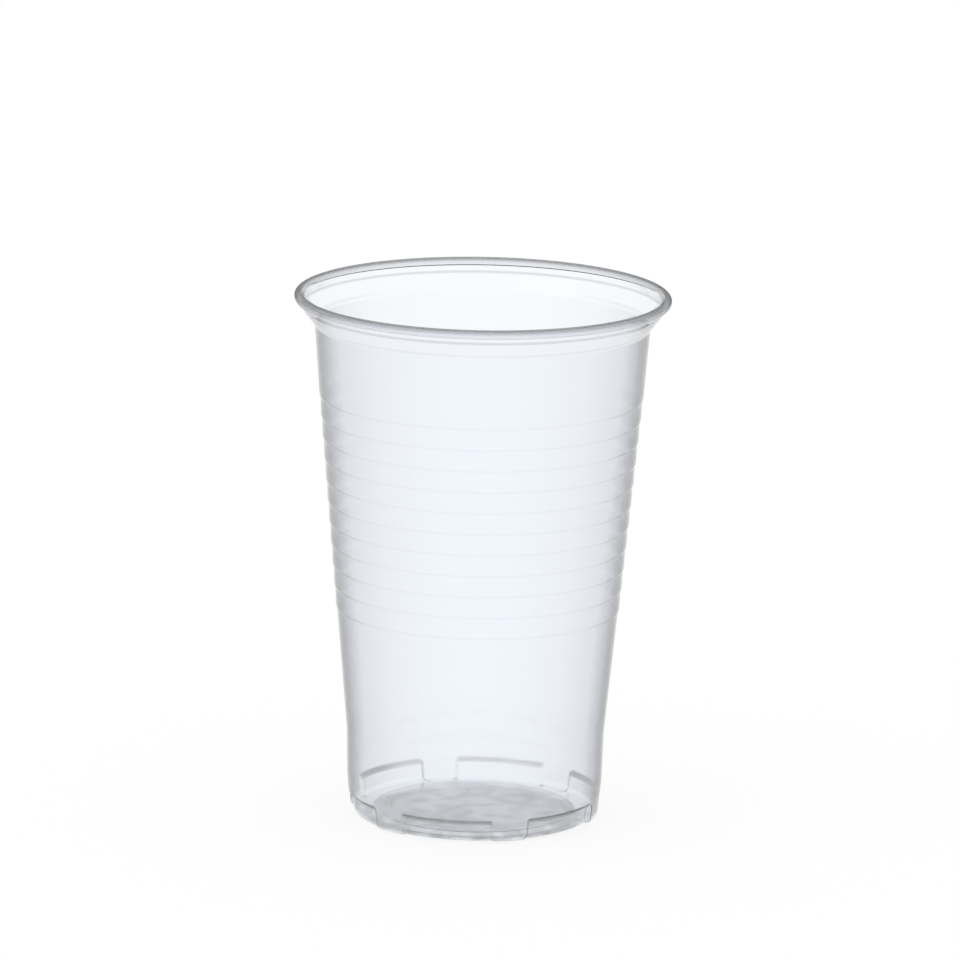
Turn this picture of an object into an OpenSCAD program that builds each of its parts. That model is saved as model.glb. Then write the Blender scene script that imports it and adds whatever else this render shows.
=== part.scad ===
// Clear disposable drinking cup, thermoformed from one polypropylene sheet.
// Its wall is one skin from the raised base to the rolled rim: a path of corners
// gives the outside, and the same path moved in by the wall gives the inside.
// The cup stands on Z = 0 with its axis on Z.

/* [Cup] */
// Height over the rolled rim
cup_h = 99.8; // [94:0.1:110]
// Thickness of the wall
wall = 0.2; // [0.12:0.01:0.4]

/* [Base] */
// Thickness of the base panel
base_t = 0.25; // [0.15:0.01:0.5]
// Radius of the raised base panel
panel_r = 18.6; // [15:0.1:20.5]
// Height of the panel's underside above the table
panel_rise = 0.6; // [0.4:0.1:2.5]
// Width that the step from the panel down to the standing ring takes
panel_slope = 0.9; // [0.5:0.1:1.2]
// Radius of the foot where its side would meet the table
foot_r = 23.4; // [23:0.05:24]
// Rounding of the foot's bottom edge
foot_round = 0.9; // [0.3:0.1:1.2]

/* [Stacking band] */
// Height where the foot ends and the steep stacking band starts
band_z = 7; // [6:0.1:9]
// Radius of the band at its lower end
band_low_r = 24.05; // [23.8:0.05:24.2]
// Height of the band's upper end
band_top_z = 16; // [14:0.1:20]
// Radius of the band at its upper end
band_top_r = 24.28; // [24.2:0.01:24.6]

/* [Pockets] */
// Number of stacking pockets round the foot
pocket_count = 6; // [3:1:7]
// Angle that one pocket covers
pocket_angle = 43; // [20:1:44]
// Turn of the first pocket from the front, towards the right
pocket_turn = -13; // [-30:0.1:30]
// Height of the pocket's ledge above the table
pocket_h = 3.8; // [2.5:0.1:5]
// Depth of the pocket at its ledge
pocket_depth = 0.6; // [0.3:0.05:0.7]
// Depth of the pocket at the table
pocket_foot_depth = 0.8; // [0.3:0.05:0.9]
// Rounding of the pocket's two upper corners
pocket_round = 0.6; // [0.3:0.1:1.5]

/* [Ribs] */
// Number of steps in the ribbed wall
rib_count = 11; // [3:1:12]
// Height from one step to the next
rib_pitch = 4.05; // [3.5:0.05:4.2]
// Plain wall between the middle of the highest step and the collar
rib_gap = 9.55; // [8.5:0.05:13]
// How far each step stands in from the band above it
rib_step = 0.25; // [0.1:0.01:0.34]
// Height that a step takes
rib_rise = 0.7; // [0.3:0.1:1.2]
// Rounding of a step's two corners
rib_round = 0.6; // [0.2:0.1:1.5]
// Radius of the wall below the lowest step
rib_low_r = 26.45; // [26:0.05:26.6]
// Radius of the wall above the highest step
rib_top_r = 30.36; // [30.3:0.01:30.7]

/* [Collar] */
// Height of the collar's lower edge below the rim
collar_drop = 10; // [9:0.1:12]
// Radius of the plain wall just below the collar
collar_foot_r = 31; // [30.8:0.01:31.1]
// Step from the plain wall out to the collar
collar_step = 0.12; // [0.06:0.01:0.3]
// Radius of the collar at its upper end
collar_r = 31.38; // [31.3:0.01:31.6]
// Height of the flare's lower edge below the rim
flare_drop = 6; // [5.6:0.1:6.8]
// How far the flare widens the wall
flare_w = 2.4; // [1.6:0.1:2.7]
// Height that the flare takes
flare_h = 3.1; // [2:0.1:3.4]

/* [Rim] */
// Radius over the rolled rim
rim_r = 35.25; // [34.9:0.05:36]
// Radius of the roll itself
roll_r = 0.9; // [0.8:0.05:1.1]
// Angle of the slit that the curled edge leaves in the roll
roll_slit = 28; // [10:1:60]

/* [Hidden] */

// The ribbed wall's bands share the taper that the steps leave over
band_gain = (rib_top_r - rib_low_r - rib_count * rib_step) / (rib_count - 1);
collar_z = cup_h - collar_drop;
rib_z = collar_z - rib_gap - (rib_count - 1) * rib_pitch;
flare_z = cup_h - flare_drop;
flare_top_z = flare_z + flare_h;
roll_centre_r = rim_r - roll_r;
roll_centre_z = cup_h - roll_r;

// Roundings of the other corners
panel_round = 0.5;
band_round = 6;
collar_round = 0.4;
flare_round = 0.8;

// Where the neck above the flare runs into the roll's skin, as an angle round the
// roll's middle. The slit starts a little further on, at the neck's outside. The
// neck's end reaches far enough in that its inner corner lies within the roll
neck_angle = -135;
neck_reach = roll_r - 0.8 * wall;
slit_angle = neck_angle + 11;
neck_end_r = roll_centre_r + neck_reach * cos(neck_angle);
neck_end_z = roll_centre_z + neck_reach * sin(neck_angle);

// Pocket windows are prisms between these radii, and what cuts reaches past
// the form that it cuts by this much
window_near_r = panel_r - 4;
window_far_r = foot_r + 4;
pocket_half_w = foot_r * sin(pocket_angle / 2);
overrun = 2;

// Smoothness: turn of one facet in a rounding and in a pocket's corner, and
// facets of a full circle
arc_turn = 12;
corner_turn = 15;
round_fn = 180;
roll_fn = 64;

function unit(v) = v / norm(v);
function left(v) = [-v.y, v.x];
function flat(v) = [v.x, v.y];

// Directions of the two edges that meet at corner i of a path
function edge_in(path, i) = unit(flat(path[i]) - flat(path[i - 1]));
function edge_out(path, i) = unit(flat(path[i + 1]) - flat(path[i]));
function turn_at(path, i) =
    let (a = edge_in(path, i), b = edge_out(path, i))
    atan2(a.x * b.y - a.y * b.x, a * b);

// Corner i moved to the left of the path by t, so that both edges move by t
function moved(path, i, t) =
    i == 0 ? flat(path[0]) + t * left(edge_out(path, 0)) :
    i == len(path) - 1 ? flat(path[i]) + t * left(edge_in(path, i)) :
    let (a = left(edge_in(path, i)), b = left(edge_out(path, i)))
    flat(path[i]) + t * (a + b) / (1 + a * b);

// A path of [radius, height, rounding] moved in by t. A corner that turns left
// keeps its centre, so its rounding shrinks by t, and one that turns right grows
function inside(path, t) = [
    for (i = [0 : len(path) - 1])
        let (
            inner_end = i == 0 || i == len(path) - 1,
            side = inner_end ? 0 : sign(turn_at(path, i)),
            p = moved(path, i, t)
        )
        [p.x, p.y, inner_end ? 0 : max(path[i][2] - side * t, 0.02)]
];

// Points of the arc that rounds corner i, never longer than half an edge
function corner_arc(path, i) =
    let (
        a = edge_in(path, i),
        b = edge_out(path, i),
        turn = turn_at(path, i),
        room = 0.49 * min(
            norm(flat(path[i]) - flat(path[i - 1])),
            norm(flat(path[i + 1]) - flat(path[i]))
        ),
        radius = min(path[i][2], room / tan(abs(turn) / 2)),
        start = flat(path[i]) - a * radius * tan(abs(turn) / 2),
        centre = start + left(a) * radius * sign(turn),
        steps = max(1, ceil(abs(turn) / arc_turn))
    )
    [
        for (k = [0 : steps])
            let (angle = k * turn / steps, arm = start - centre)
            centre + [
                arm.x * cos(angle) - arm.y * sin(angle),
                arm.x * sin(angle) + arm.y * cos(angle)
            ]
    ];

// The whole path with every inner corner rounded
function rounded(path) = concat(
    [flat(path[0])],
    [for (i = [1 : len(path) - 2]) each corner_arc(path, i)],
    [flat(path[len(path) - 1])]
);

// Both corners of rib step k: the wall jumps out by rib_step as it rises
function rib_r(k) = rib_low_r + k * (rib_step + band_gain);
function rib_corners(k) = [
    [rib_r(k), rib_z + k * rib_pitch - rib_rise / 2, rib_round],
    [rib_r(k) + rib_step, rib_z + k * rib_pitch + rib_rise / 2, rib_round]
];

// Outside of the skin, from the middle of the base up to the rolled rim
skin_path = concat(
    [
        [0, panel_rise, 0],
        [panel_r, panel_rise, panel_round],
        [panel_r + panel_slope, 0, panel_round],
        [foot_r, 0, foot_round],
        [band_low_r, band_z, band_round],
        [band_top_r, band_top_z, band_round]
    ],
    [for (k = [0 : rib_count - 1]) each rib_corners(k)],
    [
        [collar_foot_r, collar_z, collar_round],
        [collar_foot_r + collar_step, collar_z + collar_step, collar_round],
        [collar_r, flare_z, flare_round],
        [collar_r + flare_w, flare_top_z, flare_round],
        [neck_end_r, neck_end_z, 0]
    ]
);

// Floor of a pocket, which leans in below its ledge
function wall_r(z) = foot_r + (band_low_r - foot_r) * z / band_z;
pocket_top_z = pocket_h + overrun;
pocket_lean = (pocket_foot_depth - pocket_depth) / pocket_h;
function pocket_r(z) = wall_r(z) - pocket_foot_depth + pocket_lean * z;
pocket_path = [
    [panel_r + panel_slope, 0, 0],
    [pocket_r(0), 0, foot_round],
    [pocket_r(pocket_top_z), pocket_top_z, 0]
];

// Solid of revolution that a skin path bounds, up to the neck's end
module filled(path) {
    points = rounded(path);
    last = points[len(points) - 1];
    rotate_extrude($fn = round_fn) polygon(concat(points, [[0, last.y]]));
}

// Everything outside a pocket's floor, as a ring. It starts where the floor's
// rounding leaves the table, so that no face of it lies in the table's plane
module outside_of(path) {
    all_points = rounded(path);
    points = [for (i = [1 : len(all_points) - 1]) all_points[i]];
    rotate_extrude($fn = round_fn) polygon(concat(
        points,
        [
            [window_far_r, points[len(points) - 1].y],
            [window_far_r, -overrun],
            [points[0].x, -overrun]
        ]
    ));
}

// Points of a quarter circle from one angle on, round a corner's centre
function quarter(centre, radius, from) =
    [for (a = [0 : corner_turn : 90]) centre + radius * [cos(from + a), sin(from + a)]];

// A window with two rounded upper corners, as a prism that points outwards. It
// is one outline, so that no circle has to touch the straight sides from within
module window(grow) {
    half = pocket_half_w + grow;
    corner = pocket_round + grow;
    centre_x = half - corner;
    centre_y = pocket_h - pocket_round;
    rotate([90, 0, 0]) translate([0, 0, window_near_r])
        linear_extrude(window_far_r - window_near_r)
            polygon(concat(
                [[-half, -overrun], [half, -overrun]],
                quarter([centre_x, centre_y], corner, 0),
                quarter([-centre_x, centre_y], corner, 90)
            ));
}

// The space that the pockets take: out of the skin's outside with t = 0, and
// out of the cavity with t = wall, which leaves the skin standing in the foot
module pockets(t) {
    intersection() {
        outside_of(t == 0 ? pocket_path : inside(pocket_path, t));
        for (k = [0 : pocket_count - 1])
            rotate([0, 0, pocket_turn + k * 360 / pocket_count]) window(t);
    }
}

// Inside of the skin. Its two corners on the panel stand higher by what the
// base is thicker than the wall
module skin() {
    thin = inside(skin_path, wall);
    inner = [
        for (i = [0 : len(thin) - 1])
            i < 2 ? [thin[i].x, thin[i].y + base_t - wall, thin[i][2]] : thin[i]
    ];
    difference() {
        filled(skin_path);
        pockets(0);
        difference() {
            filled(inner);
            pockets(wall);
        }
    }
}

// The rim: the edge of the sheet rolled outwards, over and back under itself
module rolled_rim() {
    slit_reach = 2 * roll_r;
    rotate_extrude($fn = round_fn) translate([roll_centre_r, roll_centre_z])
        difference() {
            circle(roll_r, $fn = roll_fn);
            circle(roll_r - wall, $fn = roll_fn);
            polygon([
                [0, 0],
                slit_reach * [cos(slit_angle), sin(slit_angle)],
                slit_reach * [cos(slit_angle + roll_slit), sin(slit_angle + roll_slit)]
            ]);
        }
}

module cup() {
    color([0.90, 0.92, 0.96, 0.35]) {
        skin();
        rolled_rim();
    }
}

cup();
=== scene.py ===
# %% [markdown]
# # A clear plastic drinking cup
# This lesson dresses a thin see-through cup that was first built as a solid.
# The solid gives the place and the size. Everything here is in metres, with
# the cup's axis on Z and the table at Z = 0.

import math

import bmesh
import bpy
import numpy as np
from mathutils import Matrix, Vector


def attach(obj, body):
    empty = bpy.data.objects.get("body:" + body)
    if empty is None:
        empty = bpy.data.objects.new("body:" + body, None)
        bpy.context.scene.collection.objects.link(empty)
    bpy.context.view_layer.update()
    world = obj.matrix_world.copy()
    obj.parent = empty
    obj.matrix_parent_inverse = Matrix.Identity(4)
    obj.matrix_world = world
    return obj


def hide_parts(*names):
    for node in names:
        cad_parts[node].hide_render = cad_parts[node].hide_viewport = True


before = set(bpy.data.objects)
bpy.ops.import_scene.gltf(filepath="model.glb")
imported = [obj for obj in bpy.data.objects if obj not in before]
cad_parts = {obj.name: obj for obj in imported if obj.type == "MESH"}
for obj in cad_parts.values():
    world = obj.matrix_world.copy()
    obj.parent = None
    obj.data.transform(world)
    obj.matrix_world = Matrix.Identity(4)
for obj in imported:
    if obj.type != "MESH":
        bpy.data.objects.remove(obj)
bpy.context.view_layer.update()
MM = 0.001

# %% [markdown]
# ## The camera
# A photograph of a small product is taken with a long lens from well away, so
# that the mouth of the cup stays a slim ellipse. The camera could be aimed
# with a tracking constraint. Here its axes are worked out from three angles,
# because a slight roll of the picture has no target to point at.

# %% Placing the camera
CAMERA_AWAY = 1.4906
CAMERA_UP = 0.4033
CAMERA_LENS = 305.8
CAMERA_PITCH = math.radians(12.8235)
CAMERA_YAW = math.radians(0.0012)
CAMERA_ROLL = math.radians(1.05)


def camera_axes(pitch, yaw, roll):
    """Right, up and back of a camera that looks along +Y, down by pitch."""
    forward = Vector((
        math.sin(yaw) * math.cos(pitch),
        math.cos(yaw) * math.cos(pitch),
        -math.sin(pitch),
    ))
    right = Vector((math.cos(yaw), -math.sin(yaw), 0))
    up = right.cross(forward)
    turned_right = right * math.cos(roll) + up * math.sin(roll)
    turned_up = up * math.cos(roll) - right * math.sin(roll)
    return turned_right, turned_up, -forward


camera_data = bpy.data.cameras.new("camera")
camera_data.lens = CAMERA_LENS
camera_data.sensor_width = 36
camera_data.clip_start = 0.01
camera_data.clip_end = 50
camera = bpy.data.objects.new("camera", camera_data)
bpy.context.scene.collection.objects.link(camera)
turn = Matrix(camera_axes(CAMERA_PITCH, CAMERA_YAW, CAMERA_ROLL)).transposed()
camera.matrix_world = Matrix.Translation((0, -CAMERA_AWAY, CAMERA_UP)) @ turn.to_4x4()
bpy.context.scene.camera = camera
print("the camera stands", round(camera.location.length, 2), "m from the cup")

# %% [markdown]
# ## The wall as a line
# A cup of this kind is drawn from one warm sheet over a plug, so all of it has
# about the same thickness. It could be modelled as a thick solid. One line for
# the outside of the sheet is easier to keep even: the line is swept round the
# axis, and the thickness is added at the end. A helper rounds the corners of
# the line, because no bend in a drawn sheet is sharp.

# %% Rounding a path of corners
WALL = 0.2 * MM


def arc(centre, radius, start, end, steps):
    """Points on a circle, from one angle to another in degrees."""
    angles = np.radians(np.linspace(start, end, steps + 1))
    return [centre + radius * np.array([math.cos(a), math.sin(a)]) for a in angles]


def rounded_corner(before, corner, after, radius, steps):
    """Points of the arc that takes a sharp corner's place."""
    a = (corner - before) / np.linalg.norm(corner - before)
    b = (after - corner) / np.linalg.norm(after - corner)
    turning = math.atan2(a[0] * b[1] - a[1] * b[0], a @ b)
    reach = radius * math.tan(abs(turning) / 2)
    side = math.copysign(1, turning)
    centre = corner - a * reach + side * radius * np.array([-a[1], a[0]])
    first = math.degrees(math.atan2(*(corner - a * reach - centre)[::-1]))
    return arc(centre, radius, first, first + math.degrees(turning), steps)


def rounded_path(corners):
    """A path of (radius, height, rounding, steps) with its corners rounded."""
    spots = [np.array(c[:2], float) for c in corners]
    points = [spots[0]]
    for i in range(1, len(corners) - 1):
        rounding, steps = corners[i][2:]
        if rounding == 0:
            points.append(spots[i])
        else:
            points += rounded_corner(*spots[i - 1:i + 2], rounding, steps)
    return points + [spots[-1]]


def between(start, end, count):
    """Plain points between two points, without the two themselves."""
    shares = np.linspace(0, 1, count + 2)[1:-1]
    return [(*(np.array(start) + s * (np.array(end) - np.array(start))), 0, 0) for s in shares]


print("a quarter turn of 1 mm has", len(arc(np.zeros(2), 1, 0, 90, 6)), "points")

# %% [markdown]
# ## The foot and the stacking band
# The middle of the base is raised, so that the cup stands on a narrow ring.
# Above the foot the wall is nearly upright. That is what keeps stacked cups
# from wedging into each other. More points are placed where the ledges of the
# pockets come later, so that those bends have faces enough. Each corner has a
# radius and a height, how far it is rounded, and in how many steps.

# %% Drawing the lower wall
PANEL_R, PANEL_RISE, PANEL_SLOPE, PANEL_ROUND = 18.6, 0.6, 0.9, 0.5
FOOT_R, FOOT_ROUND = 23.4, 0.9
BAND_LOW, BAND_TOP, BAND_ROUND = (24.05, 7.0), (24.28, 16.0), 6
LEDGE_H, LEDGE_REACH, LEDGE_ROWS = 3.8, 0.65, 14
FOOT_ROWS_LOW, FOOT_ROWS_HIGH = (1.5, 2.3), (5.2,)
RING_START = 0.3
RIB_LOW_R, RIB_TOP_R = 26.45, 30.36
RIB_COUNT, RIB_PITCH, RIB_RISE, RIB_STEP = 11, 4.05, 0.7, 0.25
RIB_Z = 39.75
rib_start = RIB_Z - RIB_RISE / 2


def foot_side(height):
    """Radius of the foot's side at a height, both in millimetres."""
    return FOOT_R + (BAND_LOW[0] - FOOT_R) * height / BAND_LOW[1]


ledge_rows = np.linspace(LEDGE_H - LEDGE_REACH, LEDGE_H + LEDGE_REACH, LEDGE_ROWS)
foot_rows = [*FOOT_ROWS_LOW, *ledge_rows, *FOOT_ROWS_HIGH]
ring_start = (PANEL_R + PANEL_SLOPE + RING_START, 0)
lower_corners = [
    (0, PANEL_RISE, 0, 0),
    *between((0, PANEL_RISE), (PANEL_R, PANEL_RISE), 4),
    (PANEL_R, PANEL_RISE, PANEL_ROUND, 4),
    (PANEL_R + PANEL_SLOPE, 0, PANEL_ROUND, 4),
    *between(ring_start, (FOOT_R - FOOT_ROUND, 0), 3),
    (FOOT_R, 0, FOOT_ROUND, 7),
    *[(foot_side(z), z, 0, 0) for z in foot_rows],
    (*BAND_LOW, BAND_ROUND, 2),
    (*BAND_TOP, BAND_ROUND, 3),
    *between(BAND_TOP, (RIB_LOW_R, rib_start), 2),
    (RIB_LOW_R, rib_start, 0, 0),
]
lower_line = rounded_path(lower_corners)
print("the lower wall has", len(lower_line), "points")

# %% [markdown]
# ## The collar, the flare and the rolled rim
# Above the ribs the wall steps out by a hair's width to a plain collar. Then it
# flares out like a funnel, turns up again into a short neck, and its edge is
# rolled over, outwards and back under itself, which makes a soft lip and a
# stiff ring. The roll could be a torus. It is drawn as the curl that it is,
# because a clear cup shows the hollow and the open slit below it. The neck runs
# straight into the roll's inner side, so it is a line that touches a circle.

# %% Drawing the upper wall
CUP_H = 99.799
COLLAR_FOOT = (31.0, 89.3)
COLLAR_TOP = (31.14, 90.7)
COLLAR_ROUND = 4
FLARE_LOW, FLARE_LOW_ROUND = (31.38, 93.8), 1.6
FLARE_TOP, FLARE_TOP_ROUND = (33.78, 96.9), 1.1
RIM_R, ROLL_R = 35.23, 0.9
ROLL_END, ROLL_STEPS = -62, 38
rib_gain = (RIB_TOP_R - RIB_LOW_R - RIB_COUNT * RIB_STEP) / (RIB_COUNT - 1)
rib_end = rib_start + (RIB_COUNT - 1) * RIB_PITCH + RIB_RISE
wall_mm = WALL / MM
roll_centre = np.array([RIM_R - ROLL_R, CUP_H - ROLL_R])
roll_hollow = ROLL_R - wall_mm


def touching_angle(start, centre, radius):
    """Angle at which a line from start, passing left of a circle, touches it."""
    away = centre - start
    aim = math.atan2(away[1], away[0]) + math.asin(radius / np.linalg.norm(away))
    return math.degrees(aim) + 90


roll_first = touching_angle(np.array(FLARE_TOP), roll_centre, roll_hollow)
roll_points = arc(roll_centre, roll_hollow, roll_first, ROLL_END, ROLL_STEPS)
upper_corners = [
    (RIB_TOP_R, rib_end, 0, 0),
    *between((RIB_TOP_R, rib_end), COLLAR_FOOT, 2),
    (*COLLAR_FOOT, COLLAR_ROUND, 2),
    (*COLLAR_TOP, COLLAR_ROUND, 2),
    (*FLARE_LOW, FLARE_LOW_ROUND, 7),
    *between(FLARE_LOW, FLARE_TOP, 1),
    (*FLARE_TOP, FLARE_TOP_ROUND, 8),
    (*roll_points[0], 0, 0),
]
upper_line = rounded_path(upper_corners) + roll_points[1:]
print("the upper wall has", len(upper_line), "points")
print("the roll starts at", round(roll_first), "degrees")

# %% [markdown]
# ## Rows for the ribs
# The ribs are eleven small steps, all alike, so their shape is left to the
# node tree below. The line only needs rows of points where a step bends.

# %% Joining the whole line
STEP_ROWS = 5
rib_line = []
for rib in range(RIB_COUNT):
    bottom = rib_start + rib * RIB_PITCH
    for share in np.linspace(0, 1, STEP_ROWS + 1):
        rib_line.append(np.array([RIB_LOW_R, bottom + share * RIB_RISE]))
    if rib < RIB_COUNT - 1:
        rib_line.append(np.array([RIB_LOW_R, bottom + (RIB_RISE + RIB_PITCH) / 2]))
section = np.array(lower_line[:-1] + rib_line + upper_line[1:]) * MM
print("the line has", len(section), "points up to", round(section[:, 1].max() / MM, 2), "mm")

# %% [markdown]
# ## Spokes
# The line is swept along spokes round the axis. Evenly spread spokes would
# need to be very many to show the short sides of the stacking pockets. Here
# they stand close together at those sides, up to 0.75 mm away from the edge of
# a pocket, and wide apart elsewhere.

# %% Spreading the spokes
POCKET_COUNT, POCKET_TURN = 6, math.radians(-13)
POCKET_HALF_ANGLE = math.radians(21.5)
POCKET_HALF = FOOT_R * math.sin(POCKET_HALF_ANGLE) * MM
EDGE_REACH, EDGE_SPOKES = 0.75, 13
INNER_SPOKES, OUTER_SPOKES = 13, 6
sector = 2 * math.pi / POCKET_COUNT
edge_angle = math.asin(POCKET_HALF / (foot_side(LEDGE_H / 2) * MM))


def sector_angles():
    """Angles in one pocket's sector, measured from the pocket's middle."""
    close = np.linspace(-EDGE_REACH, EDGE_REACH, EDGE_SPOKES) * MM / (FOOT_R * MM)
    right = edge_angle + close
    inner = np.linspace(-right[0], right[0], INNER_SPOKES)[1:-1]
    outer = np.linspace(right[-1], sector - right[-1], OUTER_SPOKES)[1:-1]
    return np.concatenate([-right[::-1], inner, right, outer])


pocket_angles = [POCKET_TURN + k * sector + sector_angles() for k in range(POCKET_COUNT)]
spoke_angles = np.sort(np.concatenate(pocket_angles) % (2 * math.pi))
spoke_angles = np.append(spoke_angles, spoke_angles[0] + 2 * math.pi)
spokes = np.column_stack([np.sin(spoke_angles), -np.cos(spoke_angles)])
closest = math.degrees(np.diff(spoke_angles).min())
print(len(spokes) - 1, "spokes, the closest", round(closest, 2), "degrees apart")

# %% [markdown]
# ## Handing the line to the node tree
# A node tree can't read a list of numbers, but it can read the points of an
# object. So the line and the spokes become two meshes of loose points. The
# line's object is the one that turns into the cup.

# %% Making the two rows of points


def line_object(name, points):
    """A mesh of loose points that a node tree reads by their order."""
    mesh = bpy.data.meshes.new(name)
    mesh.from_pydata([tuple(p) for p in points], [], [])
    made = bpy.data.objects.new(name, mesh)
    bpy.context.scene.collection.objects.link(made)
    return made


line_points = np.column_stack([section[:, 0], 0 * section[:, 0], section[:, 1]])
wall_line = line_object("cup_clear", line_points)
spoke_line = line_object("spokes", np.column_stack([spokes, 0 * spokes[:, 0]]))
print(len(line_points), "points in the line and", len(spokes), "in the ring of spokes")

# %% [markdown]
# ## How far a pocket reaches into the foot
# Each row of the line takes part in a pocket only on the foot's side. On the
# ring that the cup stands on, the push fades out towards the middle, so that
# the ring gets narrower under a pocket and doesn't fold over itself.

# %% Storing the push of each row
RING_STILL = 0.5
ring_inner = (PANEL_R + PANEL_SLOPE + RING_STILL) * MM
ring_outer = (FOOT_R - FOOT_ROUND) * MM
on_foot = np.clip((section[:, 0] - ring_inner) / (ring_outer - ring_inner), 0, 1)
on_foot[section[:, 1] > BAND_LOW[1] * MM] = 0
push = wall_line.data.attributes.new("push", "FLOAT", "POINT")
push.data.foreach_set("value", on_foot.astype(np.float32))
print(int((on_foot > 0).sum()), "rows belong to the foot's side")

# %% [markdown]
# ## A small kit for node trees
# A node tree can be drawn by hand in the editor. In a script it is built from
# calls, so a few short helpers keep it readable: one adds a node and sets its
# inputs, the others do sums and ramps. The class is used for the cup's shape
# here, and for its plastic and the table later.

# %% Helpers for node trees


class Tree:
    """A node tree with short ways to add nodes to it."""

    def __init__(self, tree):
        self.tree = tree

    def add(self, kind, inputs=(), **settings):
        """Adds a node, sets its settings and then its inputs by place or name."""
        node = self.tree.nodes.new(kind)
        for name, value in settings.items():
            setattr(node, name, value)
        for place, value in dict(inputs).items():
            self.feed(node.inputs[place], value)
        return node

    def feed(self, socket, value):
        """Links an output to a socket, or sets a plain value on it."""
        if isinstance(value, bpy.types.NodeSocket):
            self.tree.links.new(value, socket)
        else:
            socket.default_value = value

    def math(self, operation, a, b=0.0, c=0.0):
        """One sum on plain numbers or outputs."""
        kind = "ShaderNodeMath"
        return self.add(kind, {0: a, 1: b, 2: c}, operation=operation).outputs[0]

    def plus(self, a, b):
        """The sum of two values."""
        return self.math("ADD", a, b)

    def minus(self, a, b):
        """The first value without the second."""
        return self.math("SUBTRACT", a, b)

    def times(self, a, b):
        """The product of two values."""
        return self.math("MULTIPLY", a, b)

    def smooth(self, value, low, high, start=0.0, end=1.0):
        """A soft ramp from start to end while value goes from low to high."""
        kind = "ShaderNodeMapRange"
        places = {0: value, 1: low, 2: high, 3: start, 4: end}
        return self.add(kind, places, interpolation_type="SMOOTHSTEP").outputs[0]

    def ramp(self, value, low, high, start=0.0, end=1.0):
        """A straight ramp from start to end while value goes from low to high."""
        places = {0: value, 1: low, 2: high, 3: start, 4: end}
        return self.add("ShaderNodeMapRange", places).outputs[0]


cup_group = bpy.data.node_groups.new("drawn_cup", "GeometryNodeTree")
cup_tree = Tree(cup_group)
print("the tree", cup_group.name, "is ready for its inputs")

# %% [markdown]
# ## Named inputs
# The tree gets one named input for each size that someone may want to change.
# The values are kept beside the names and are set on the modifier later.

# %% Naming the sizes of the tree
tree_sizes = {
    "Rows": len(section),
    "Columns": len(spokes),
    "Rib count": RIB_COUNT,
    "First rib height": rib_start * MM,
    "Rib pitch": RIB_PITCH * MM,
    "Rib rise": RIB_RISE * MM,
    "Rib step": RIB_STEP * MM,
    "Rib gain": rib_gain * MM,
    "Rib low radius": RIB_LOW_R * MM,
    "Rib end height": rib_end * MM,
    "Pocket sector": sector,
    "Pocket turn": POCKET_TURN,
    "Pocket half width": POCKET_HALF,
    "Pocket ledge height": LEDGE_H * MM,
    "Pocket ledge softness": 0.45 * MM,
    "Pocket side softness": 1.0 * MM,
    "Pocket line width": 0.7 * MM,
    "Pocket depth": 0.6 * MM,
    "Pocket foot depth": 0.8 * MM,
}
sockets = {}
face = cup_group.interface
face.new_socket("Geometry", in_out="INPUT", socket_type="NodeSocketGeometry")
face.new_socket("Geometry", in_out="OUTPUT", socket_type="NodeSocketGeometry")
sockets["Spokes"] = face.new_socket("Spokes", in_out="INPUT", socket_type="NodeSocketObject")
sockets["Material"] = face.new_socket("Material", in_out="INPUT", socket_type="NodeSocketMaterial")
for name, value in tree_sizes.items():
    kind = "NodeSocketInt" if isinstance(value, int) else "NodeSocketFloat"
    sockets[name] = face.new_socket(name, in_out="INPUT", socket_type=kind)
group_in = cup_tree.add("NodeGroupInput").outputs
print(len(sockets), "named inputs")

# %% [markdown]
# ## Sweeping the line
# A curve could be swept with Curve to Mesh, but on a ring of unevenly spread
# points that tilts each profile a little. A grid is exact: its rows are the
# points of the line and its columns are the spokes, and each of its points
# looks its place up. A half is added before the division that finds the column,
# so that rounding can't lead to the column before.

# %% Looking up rows and spokes
grid = cup_tree.add("GeometryNodeMeshGrid", {
    "Vertices X": group_in["Columns"],
    "Vertices Y": group_in["Rows"],
})
index = cup_tree.add("GeometryNodeInputIndex").outputs[0]
column = cup_tree.math("DIVIDE", cup_tree.plus(index, 0.5), group_in["Rows"])
column = cup_tree.math("FLOOR", column)
row = cup_tree.minus(index, cup_tree.times(column, group_in["Rows"]))
spoke_info = cup_tree.add("GeometryNodeObjectInfo", {"Object": group_in["Spokes"]})
spoke_points = spoke_info.outputs["Geometry"]
place = cup_tree.add("GeometryNodeInputPosition").outputs[0]
stored_push = cup_tree.add("GeometryNodeInputNamedAttribute", {"Name": "push"}, data_type="FLOAT")


def looked_up(points, value, kind, number):
    """The value that another geometry's point of that number has."""
    node = cup_tree.add("GeometryNodeSampleIndex", {0: points}, data_type=kind, domain="POINT")
    cup_tree.feed(node.inputs["Value"], value)
    cup_tree.feed(node.inputs["Index"], number)
    return node.outputs[0]


line_point = looked_up(group_in["Geometry"], place, "FLOAT_VECTOR", row)
row_place = cup_tree.add("ShaderNodeSeparateXYZ", {0: line_point})
row_push = looked_up(group_in["Geometry"], stored_push.outputs[0], "FLOAT", row)
spoke_end = looked_up(spoke_points, place, "FLOAT_VECTOR", column)
spoke = cup_tree.add("ShaderNodeSeparateXYZ", {0: spoke_end})
plain_r, height = row_place.outputs["X"], row_place.outputs["Z"]
print("the tree has", len(cup_group.nodes), "nodes")

# %% [markdown]
# ## The ribs
# Every rib is the same move: the wall steps out while it rises, then goes up
# nearly straight to the next. So the radius in the ribbed part is a staircase
# with rounded edges, worked out from the height alone. A row that lies right on
# an edge would fall to either side by chance, so a tiny height is added.

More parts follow.
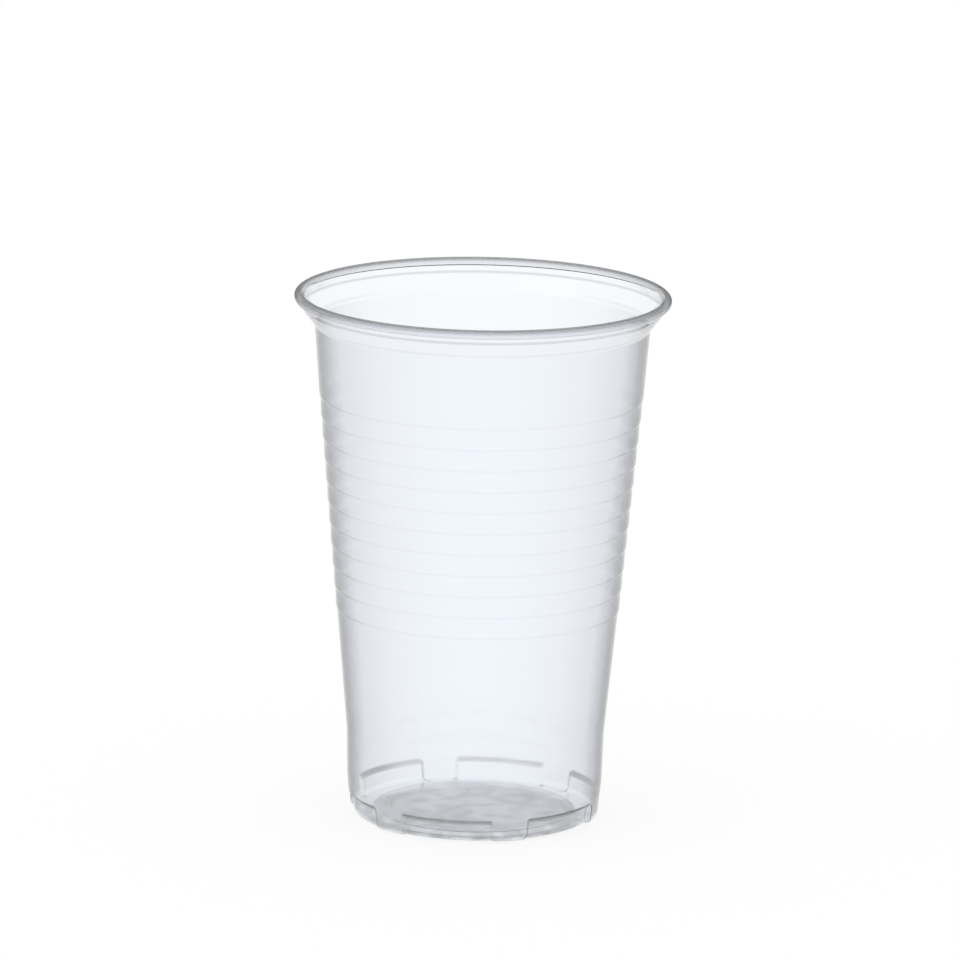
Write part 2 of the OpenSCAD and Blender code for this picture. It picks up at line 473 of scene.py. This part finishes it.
# %% Making the staircase of ribs
TINY = 1e-6
above = cup_tree.minus(height, group_in["First rib height"])
stair = cup_tree.math("DIVIDE", cup_tree.plus(above, TINY), group_in["Rib pitch"])
stair = cup_tree.math("FLOOR", stair)
last_stair = cup_tree.minus(group_in["Rib count"], 1.0)
stair = cup_tree.math("MINIMUM", cup_tree.math("MAXIMUM", stair, 0.0), last_stair)
in_stair = cup_tree.minus(above, cup_tree.times(stair, group_in["Rib pitch"]))
step_share = cup_tree.smooth(in_stair, 0.0, group_in["Rib rise"])
band_share = cup_tree.ramp(in_stair, group_in["Rib rise"], group_in["Rib pitch"])
whole_step = cup_tree.plus(group_in["Rib step"], group_in["Rib gain"])
stair_r = cup_tree.math("MULTIPLY_ADD", stair, whole_step, group_in["Rib low radius"])
stair_r = cup_tree.math("MULTIPLY_ADD", step_share, group_in["Rib step"], stair_r)
stair_r = cup_tree.math("MULTIPLY_ADD", band_share, group_in["Rib gain"], stair_r)
is_above = cup_tree.math("GREATER_THAN", above, -TINY)
is_below = cup_tree.math("LESS_THAN", height, cup_tree.plus(group_in["Rib end height"], TINY))
ribbed = cup_tree.times(is_above, is_below)
rib_change = cup_tree.minus(stair_r, plain_r)
ribbed_r = cup_tree.math("MULTIPLY_ADD", rib_change, ribbed, plain_r)
print("the steps add", round(RIB_COUNT * RIB_STEP, 2), "mm to the radius")

# %% [markdown]
# ## The stacking pockets
# Six shallow windows are pressed in round the foot. Their ledges carry the
# next cup in a stack. They could be cut out with booleans, but the sheet must
# stay one skin, so the tree pushes the foot's side in wherever a point lies in
# a window. A window's ledge bends sharply and its sides bend softly.

# %% Pressing the pockets in
to_the_front = cup_tree.times(spoke.outputs["Y"], -1.0)
round_angle = cup_tree.math("ARCTAN2", spoke.outputs["X"], to_the_front)
from_turn = cup_tree.minus(round_angle, group_in["Pocket turn"])
nearest = cup_tree.math("ROUND", cup_tree.math("DIVIDE", from_turn, group_in["Pocket sector"]))
middle = cup_tree.times(nearest, group_in["Pocket sector"])
from_middle = cup_tree.minus(from_turn, middle)
sideways = cup_tree.math("ABSOLUTE", cup_tree.times(plain_r, cup_tree.math("SINE", from_middle)))
past_side = cup_tree.minus(sideways, group_in["Pocket half width"])
past_top = cup_tree.minus(height, group_in["Pocket ledge height"])


def pressed_within(past, softness):
    """Falls softly from 1 to 0 over a stretch that has the edge in its middle."""
    half = cup_tree.times(softness, 0.5)
    return cup_tree.smooth(past, cup_tree.times(half, -1.0), half, 1.0, 0.0)


side_press = pressed_within(past_side, group_in["Pocket side softness"])
ledge_press = pressed_within(past_top, group_in["Pocket ledge softness"])
down_share = cup_tree.math("DIVIDE", height, group_in["Pocket ledge height"])
depth_change = cup_tree.minus(group_in["Pocket depth"], group_in["Pocket foot depth"])
depth = cup_tree.math("MULTIPLY_ADD", down_share, depth_change, group_in["Pocket foot depth"])
pressed = cup_tree.times(cup_tree.times(side_press, ledge_press), row_push)
cup_r = cup_tree.minus(ribbed_r, cup_tree.times(pressed, depth))
print("the pockets' floor lies up to", round(tree_sizes["Pocket foot depth"] / MM, 1), "mm deep")

# %% [markdown]
# ## The bends of the pockets
# A sharp bend in clear plastic shows as a dark line, because it bends and
# mirrors the light another way than the flat sheet does. That line is painted
# shade. So each point keeps how far it lies within a bend, as two named values
# that the plastic reads: one for the ledges and one for the sides. The painted
# shade of a side is darkest where it is half pressed in. There, a share times
# its rest is a quarter, so it is taken four times.

# %% Keeping where the pockets bend
LINE_CORE_SHARE = 0.4
from_ledge = cup_tree.math("ABSOLUTE", past_top)
line_core = cup_tree.times(group_in["Pocket line width"], LINE_CORE_SHARE)
ledge_line = cup_tree.smooth(from_ledge, line_core, group_in["Pocket line width"], 1.0, 0.0)
ledge_line = cup_tree.times(cup_tree.times(ledge_line, side_press), row_push)
side_line = cup_tree.times(side_press, cup_tree.minus(1.0, side_press))
side_line = cup_tree.times(cup_tree.times(side_line, 4.0), ledge_press)
side_line = cup_tree.times(side_line, row_push)
print("a pocket is", round(2 * POCKET_HALF / MM, 1), "mm wide and", LEDGE_H, "mm high")

# %% [markdown]
# ## Closing the skin
# The sweep starts and ends on the same spoke, and its first row shrinks to a
# point in the middle of the base. Both are closed by merging what coincides.

# %% Placing and merging the grid
new_place = cup_tree.add("ShaderNodeCombineXYZ", {
    "X": cup_tree.times(cup_r, spoke.outputs["X"]),
    "Y": cup_tree.times(cup_r, spoke.outputs["Y"]),
    "Z": height,
}).outputs[0]
placed = {"Geometry": grid.outputs["Mesh"], "Position": new_place}
swept = cup_tree.add("GeometryNodeSetPosition", placed).outputs[0]


def with_value(geometry, name, value):
    """The geometry with a value stored on its points under a name."""
    places = {"Geometry": geometry, "Name": name}
    kind = "GeometryNodeStoreNamedAttribute"
    node = cup_tree.add(kind, places, data_type="FLOAT", domain="POINT")
    cup_tree.feed(node.inputs["Value"], value)
    return node.outputs[0]


# The two values mark where the plastic paints shade along the bends.
marked = with_value(with_value(swept, "ledge", ledge_line), "side", side_line)
merging = {"Geometry": marked, "Distance": TINY}
merged = cup_tree.add("GeometryNodeMergeByDistance", merging).outputs[0]
smooth_skin = cup_tree.add("GeometryNodeSetShadeSmooth", {"Geometry": merged}).outputs[0]
realized = cup_tree.add("GeometryNodeRealizeInstances", {"Geometry": smooth_skin}).outputs[0]
coated = {"Geometry": realized, "Material": group_in["Material"]}
finished = cup_tree.add("GeometryNodeSetMaterial", coated).outputs[0]
cup_tree.add("NodeGroupOutput", {"Geometry": finished})
print("the finished tree has", len(cup_group.nodes), "nodes")

# %% [markdown]
# ## Clear polypropylene
# The plastic is clear and a little blue, with a faint haze. Glass with a real
# thickness bends and dims the light by itself, but a drawn sheet that is seen
# at a low angle looks greyer than perfect glass: partly from the longer way
# through the hazy plastic, and partly from darker surroundings that its edges
# mirror, which this white studio doesn't have. So that grey is painted shade.
# It could be painted on as an image. A colour ramp that reads a Layer Weight is
# simpler, because it follows the eye round the cup. Its places go from 0, seen
# straight on, to 1, seen along the wall.

# %% Starting the plastic
# Painted shade: the wall greys towards its outline, where it is seen along.
EDGE_SHADE_TINTS = {
    0.0: (0.941, 0.961, 0.993),
    0.25: (0.895, 0.910, 0.937),
    0.5: (0.785, 0.798, 0.822),
    0.65: (0.53, 0.54, 0.565),
    0.8: (0.19, 0.197, 0.21),
    1.0: (0.12, 0.125, 0.133),
}

clear = bpy.data.materials.new("clear_polypropylene")
clear.use_nodes = True
clear.node_tree.nodes.clear()
paint = Tree(clear.node_tree)
coords = paint.add("ShaderNodeTexCoord").outputs["Object"]
spot = paint.add("ShaderNodeSeparateXYZ", {0: coords}).outputs
y_squared = paint.times(spot["Y"], spot["Y"])
radius = paint.math("SQRT", paint.math("MULTIPLY_ADD", spot["X"], spot["X"], y_squared))
facing = paint.add("ShaderNodeLayerWeight", {"Blend": 0.5}).outputs["Facing"]
print("the wall's tint has", len(EDGE_SHADE_TINTS), "stops")

# %% [markdown]
# ## Shares and colours
# A real cup looks different in places: at its rim, its creases, its pockets
# and its base. Each could have a material of its own, but a seam would show
# between two clear materials. Here one material holds them all. Each place
# has a share from 0 to 1, which mixes its colour in, so the helpers make
# shares and mix colours.

# %% Helpers for the plastic


def band(value, low, high, start=0.0, end=1.0):
    """A soft ramp from start to end over a stretch in millimetres."""
    return paint.smooth(value, low * MM, high * MM, start, end)


def colour_steps(share, colours):
    """A colour ramp through the given colours, by their places from 0 to 1."""
    node = paint.add("ShaderNodeValToRGB", {"Fac": share})
    stops = node.color_ramp.elements
    places = sorted(colours)
    stops[0].position, stops[1].position = places[0], places[-1]
    for place in places[1:-1]:
        stops.new(place)
    for stop, place in zip(stops, places):
        stop.color = (*colours[place], 1)
    return node.outputs["Color"]


def tinted(share, low, high):
    """Goes from one colour or output to another by a share."""
    node = paint.add("ShaderNodeMix", {"Factor": share}, data_type="RGBA")
    colour_sockets = [s for s in node.inputs if s.type == "RGBA"]
    paint.feed(colour_sockets[0], low)
    paint.feed(colour_sockets[1], high)
    return [s for s in node.outputs if s.type == "RGBA"][0]


print("the ramps are given in units of", MM, "m")

# %% [markdown]
# ## Frost and painted shadow on the base
# The mould leaves the raised base a little rough, so it looks frosted, a
# little unevenly, with a ragged edge. Fine bumps could do that, but from this
# far a darker and rougher tint looks the same. Part of that darkness is painted
# shadow: the table's shadow under the cup, seen through the base, which the
# table itself keeps little of. Noise moves the tint's edge in and out. The tint
# reaches further out and is darker in front, and at the back it gets lighter
# and fades over a longer way.
#
# From here on, a new name that ends in Y, Z or R gives the two ends of a ramp
# in millimetres: towards the back, up, or away from the axis.

# %% Frosting the base and painting its shadow
# Frost and painted shadow in one tint: the darker part stands for the table's shadow seen through
# the base.
FROST_AND_SHADOW_LIGHT = (0.9, 0.903, 0.908, 1)
FROST_AND_SHADOW_DARK = (0.68, 0.686, 0.698, 1)
FROST_EDGE, FROST_FULL_FRONT, FROST_FULL_BACK = 20.6, 17, 12
FROST_RAGGED = 3.4
FROST_REACH_BACK, FROST_REACH_FRONT = 1.6, 5.5
MOTTLE_SCALE, MOTTLE_DETAIL = 260.0, 4.0
MOTTLE_LOW, MOTTLE_HIGH = 0.36, 0.64
DARKER_FRONT, LIGHTER_BACK = -0.2, 0.35
FROST_REACH_Y, FROST_FADE_Y, FROST_LIGHTER_Y = (4, -14), (0, 15), (-20, 20)
NEAR_TABLE_Z = (1.4, 0.9)
mottle_inputs = {"Vector": coords, "Scale": MOTTLE_SCALE, "Detail": MOTTLE_DETAIL}
mottle = paint.add("ShaderNodeTexNoise", mottle_inputs).outputs["Fac"]
reach_out = band(spot["Y"], *FROST_REACH_Y, FROST_REACH_BACK * MM, FROST_REACH_FRONT * MM)
ragged = paint.math("MULTIPLY_ADD", mottle, FROST_RAGGED * MM, paint.minus(radius, reach_out))
full_frost = band(spot["Y"], *FROST_FADE_Y, FROST_FULL_FRONT * MM, FROST_FULL_BACK * MM)
near_table = band(spot["Z"], *NEAR_TABLE_Z)
on_base = paint.times(paint.smooth(ragged, FROST_EDGE * MM, full_frost), near_table)
lighter_ends = [y * MM for y in FROST_LIGHTER_Y]
to_the_back = paint.ramp(spot["Y"], *lighter_ends, DARKER_FRONT, LIGHTER_BACK)
frost_shadow_share = paint.plus(paint.smooth(mottle, MOTTLE_LOW, MOTTLE_HIGH), to_the_back)
frost_and_shadow = tinted(frost_shadow_share, FROST_AND_SHADOW_DARK, FROST_AND_SHADOW_LIGHT)
frost_least = round(FROST_EDGE - FROST_RAGGED, 1)
print("without its reach the frost ends between", frost_least, "and", FROST_EDGE, "mm")

# %% [markdown]
# ## The flare and its creases
# The flare and the standing ring are drawn thin, so they grey less than the
# wall does. A share of how slanted they are is taken off before the wall's
# ramp is read, which gives them less of its painted shade. The flare's two
# bends show as thin grey rings, a little above the corners of the line. They
# could be cut in as grooves, but they are only a change in how the light
# passes, so a darker tint of painted shade at their heights is enough. The
# lower one shows only where the wall is seen at a slant.

# %% Marking the flare and its creases
FLARE_TINT = (0.95, 0.953, 0.958, 1)
CREASE_TINT = (0.7, 0.706, 0.716, 1)
FLARE_SLANT, RING_SLANT = 0.2, 0.35
CREASE_CORE, CREASE_REACH = 0.08, 0.4
TOP_CREASE_H, TOP_CREASE_SHARE = FLARE_TOP[1] + 0.2, 0.8
LOW_CREASE_H, LOW_CREASE_SHARE = FLARE_LOW[1] + 0.5, 0.7
LOW_CREASE_FACING = (0.15, 0.45)
ABOVE_COLLAR_Z, INSIDE_RIM_R = (93.4, 94.2), (34.2, 33.9)


def crease_at(height, share):
    """Share of a thin ring round the cup at a height in millimetres."""
    away = paint.math("ABSOLUTE", paint.minus(spot["Z"], height * MM))
    return band(away, CREASE_CORE, CREASE_REACH, share, 0.0)


on_flare = paint.times(band(spot["Z"], *ABOVE_COLLAR_Z), band(radius, *INSIDE_RIM_R))
flare_slanted = paint.times(on_flare, FLARE_SLANT)
ring_slanted = paint.times(near_table, RING_SLANT)
looked_along = paint.minus(facing, paint.math("MAXIMUM", flare_slanted, ring_slanted))
top_crease = crease_at(TOP_CREASE_H, TOP_CREASE_SHARE)
low_crease = crease_at(LOW_CREASE_H, LOW_CREASE_SHARE)
low_crease = paint.times(low_crease, paint.smooth(facing, *LOW_CREASE_FACING))
print("creases at", round(LOW_CREASE_H, 1), "and", round(TOP_CREASE_H, 1), "mm")

# %% [markdown]
# ## Painted shade in the bends of the pockets
# The tree kept how far each point lies within a ledge or a side of a pocket.
# Those two values are read here and painted as shade, darker where a bend is
# seen at a slant. The ledges get paler towards the back, where they are seen
# through more plastic.

# %% Marking the ledges and sides
# Painted shade along the ledges and sides of the pockets, darker where they are seen at a slant.
LEDGE_SHADE_TINTS = {
    0.0: (0.66, 0.666, 0.676),
    0.12: (0.52, 0.526, 0.538),
    0.35: (0.46, 0.466, 0.478),
    0.6: (0.46, 0.466, 0.478),
    0.8: (0.28, 0.286, 0.296),
    1.0: (0.12, 0.124, 0.132),
}
SIDE_SHADE_TINTS = {
    0.0: (0.93, 0.935, 0.942),
    0.2: (0.86, 0.866, 0.876),
    0.5: (0.55, 0.556, 0.568),
    0.8: (0.30, 0.306, 0.317),
    1.0: (0.12, 0.124, 0.132),
}
LEDGE_SHARE_BACK, LEDGE_PALER_Y = 0.55, (14, 19)
ledge_shade = paint.add("ShaderNodeAttribute", attribute_name="ledge").outputs["Fac"]
ledge_shade = paint.times(ledge_shade, band(spot["Y"], *LEDGE_PALER_Y, 1.0, LEDGE_SHARE_BACK))
side_shade = paint.add("ShaderNodeAttribute", attribute_name="side").outputs["Fac"]
print("ledges have", len(LEDGE_SHADE_TINTS), "stops and sides", len(SIDE_SHADE_TINTS))

# %% [markdown]
# ## The rolled rim
# The rim is darker on its upper side, where the sheet is rolled double, and a
# ramp read by the Layer Weight paints more shade on it where it is seen at a
# slant. The end of the curl gets a pale tint of painted light, because a thin
# cut edge lets light out.
#
# A clear edge that is seen at a low angle mirrors its bright surroundings, and
# no tint of the plastic reaches a mirrored ray. Darker surroundings would do
# it, but they would spoil the white table. A coat that only absorbs lies over
# both kinds of light. So the roll has one, which keeps its outline dark.

# %% Marking the rim
# Tints of the roll: darker than the wall for the double sheet, and painted shade where it is seen
# at a slant.
RIM_SHADE_TINTS = {
    0.0: (0.84, 0.845, 0.852),
    0.5: (0.72, 0.726, 0.736),
    0.8: (0.48, 0.486, 0.495),
    1.0: (0.3, 0.304, 0.311),
}
# Painted light at the end of the curl.
CURL_END_PAINTED_LIGHT = (0.95, 0.953, 0.958, 1)
ROLL_COAT_TINT = (0.87, 0.871, 0.874, 1)
OUTER_ROLL_SHARE = 0.25
ON_RIM_Z, UPPER_ROLL_R, OUTER_ROLL_R = (98.6, 99.3), (33.6, 34.1), (34.3, 34.6)
CURL_END_Z, CURL_END_R = (98.5, 98.25), (34.2, 34.5)
on_rim = band(spot["Z"], *ON_RIM_Z)
curl_end = paint.times(band(spot["Z"], *CURL_END_Z), band(radius, *CURL_END_R))
upper_roll = paint.times(on_rim, band(radius, *UPPER_ROLL_R))
outer_roll = band(radius, *OUTER_ROLL_R, 0.0, OUTER_ROLL_SHARE)
on_roll = paint.math("MAXIMUM", upper_roll, outer_roll)
print("the roll's middle lies at", [round(float(v), 2) for v in roll_centre], "mm")

# %% [markdown]
# ## Putting the plastic together
# The tints are mixed in one after the other, so a later one lies over an
# earlier one. The base is rougher than the rest. The mirrored light is halved
# where the wall is seen straight on, which keeps the body of the cup even. How
# much the plastic bends light is the known value of polypropylene.

# %% Finishing the plastic
PLAIN_ROUGH, FROST_ROUGH = 0.04, 0.2
FLARE_SHARE = 0.4
PLASTIC_IOR = 1.49
tint = colour_steps(looked_along, EDGE_SHADE_TINTS)
tint = tinted(on_base, tint, frost_and_shadow)
tint = tinted(paint.times(on_flare, FLARE_SHARE), tint, FLARE_TINT)
tint = tinted(top_crease, tint, CREASE_TINT)
tint = tinted(low_crease, tint, CREASE_TINT)
tint = tinted(on_rim, tint, colour_steps(facing, RIM_SHADE_TINTS))
tint = tinted(curl_end, tint, CURL_END_PAINTED_LIGHT)
tint = tinted(side_shade, tint, colour_steps(facing, SIDE_SHADE_TINTS))
tint = tinted(ledge_shade, tint, colour_steps(facing, LEDGE_SHADE_TINTS))
plastic = paint.add("ShaderNodeBsdfPrincipled", {
    "Base Color": tint,
    "Roughness": paint.math("MULTIPLY_ADD", on_base, FROST_ROUGH, PLAIN_ROUGH),
    "Specular Tint": (0.5, 0.5, 0.5, 1),
    "Coat Weight": on_roll,
    "Coat IOR": 1.0,
    "Coat Tint": ROLL_COAT_TINT,
    "Transmission Weight": 1.0,
    "IOR": PLASTIC_IOR,
})
paint.add("ShaderNodeOutputMaterial", {"Surface": plastic.outputs[0]})
print("the plastic has", len(clear.node_tree.nodes), "nodes")

# %% [markdown]
# ## From line to cup
# The tree is put on the line as a modifier, then the sheet gets its thickness
# with Solidify, towards the inside of the cup. The evaluated mesh replaces the
# line, so that nothing live is left on the piece. Edges that bend by more than
# 50 degrees stay crisp, which are those of the sheet's cut edge.

# %% Running the tree
SHARP_ABOVE = math.radians(50)
cup = wall_line
sweep = cup.modifiers.new("sweep", "NODES")
sweep.node_group = cup_group
for name, value in {**tree_sizes, "Spokes": spoke_line, "Material": clear}.items():
    sweep[sockets[name].identifier] = value
sheet = cup.modifiers.new("sheet", "SOLIDIFY")
sheet.thickness = WALL
sheet.offset = -1
sheet.use_even_offset = True
sheet.use_quality_normals = True
bpy.context.view_layer.update()
seen = cup.evaluated_get(bpy.context.evaluated_depsgraph_get())
cup_mesh = bpy.data.meshes.new_from_object(seen)
cup.modifiers.clear()
cup.data = cup_mesh
cup_mesh.name = "cup_clear"
bpy.data.objects.remove(spoke_line)
cup_mesh.set_sharp_from_angle(angle=SHARP_ABOVE)


def measured(mesh):
    """Volume in cubic millimetres, open edges and triangles of a mesh."""
    form = bmesh.new()
    form.from_mesh(mesh)
    volume = form.calc_volume(signed=True) / MM**3
    loose = sum(1 for e in form.edges if len(e.link_faces) != 2)
    triangles = sum(len(f.verts) - 2 for f in form.faces)
    form.free()
    return round(volume, 1), loose, triangles


print("volume, open edges and triangles:", measured(cup_mesh))

# %% [markdown]
# ## A white table
# A packshot stands on white. More light could wash a grey table out, but it
# would wash the cup out too. Instead, eyes, mirrored rays and rays through the
# plastic meet plain white paper, of which a small part stays a real surface
# that keeps the cup's shadow.

# %% Laying the table
SHADOW_KEPT = 0.15
FLOOR_REACH = 6.0
FLOOR_GAP = 0.0002
corner_signs = [(-1, -1), (1, -1), (1, 1), (-1, 1)]
floor_corners = [(x * FLOOR_REACH, y * FLOOR_REACH, 0) for x, y in corner_signs]
floor_mesh = bpy.data.meshes.new("floor")
floor_mesh.from_pydata(floor_corners, [], [(0, 1, 2, 3)])
floor = bpy.data.objects.new("floor", floor_mesh)
bpy.context.scene.collection.objects.link(floor)
floor.location.z = -FLOOR_GAP
white = bpy.data.materials.new("white_table")
white.use_nodes = True
white.node_tree.nodes.clear()
table = Tree(white.node_tree)
white_face = table.add("ShaderNodeBsdfDiffuse", {"Color": (1, 1, 1, 1)})
plain_white = table.add("ShaderNodeEmission", {"Color": (1, 1, 1, 1), "Strength": 1.0})
rays = table.add("ShaderNodeLightPath").outputs
seen_ray = table.math("MAXIMUM", rays["Is Camera Ray"], rays["Is Glossy Ray"])
seen_ray = table.math("MAXIMUM", seen_ray, rays["Is Transmission Ray"])
paper = table.add("ShaderNodeMixShader", {
    0: table.times(seen_ray, 1 - SHADOW_KEPT),
    1: white_face.outputs[0],
    2: plain_white.outputs[0],
})
table.add("ShaderNodeOutputMaterial", {"Surface": paper.outputs[0]})
floor_mesh.materials.append(white)
print("the floor is", 2 * FLOOR_REACH, "m wide")

# %% [markdown]
# ## Soft light
# The world lights everything evenly, at the strength that renders as white.
# One large soft lamp from the upper left gives the cup its direction. It isn't
# mirrored, because its square shape would show in the plastic.

# %% Lighting the cup
LAMP_SIZE, LAMP_ENERGY = 0.6, 0.8
LAMP_PLACE, LAMP_AIM = (-0.6, -0.3, 0.9), Vector((0, 0, 0.05))
world = bpy.data.worlds.new("studio")
world.use_nodes = True
world.node_tree.nodes.clear()
sky = Tree(world.node_tree)
even = sky.add("ShaderNodeBackground", {"Color": (1, 1, 1, 1), "Strength": 1.0})
sky.add("ShaderNodeOutputWorld", {"Surface": even.outputs[0]})
bpy.context.scene.world = world

lamp_data = bpy.data.lights.new("soft_lamp", "AREA")
lamp_data.size = LAMP_SIZE
lamp_data.energy = LAMP_ENERGY
lamp = bpy.data.objects.new("soft_lamp", lamp_data)
lamp.visible_glossy = False
bpy.context.scene.collection.objects.link(lamp)
lamp.location = LAMP_PLACE
lamp.rotation_euler = (LAMP_AIM - lamp.location).to_track_quat("-Z", "Y").to_euler()
print("one lamp of", LAMP_ENERGY, "W,", LAMP_SIZE, "m wide")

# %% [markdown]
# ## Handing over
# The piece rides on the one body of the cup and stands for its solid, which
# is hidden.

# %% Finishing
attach(cup, "root")
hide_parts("cup")
bpy.context.scene.view_settings.view_transform = "Standard"
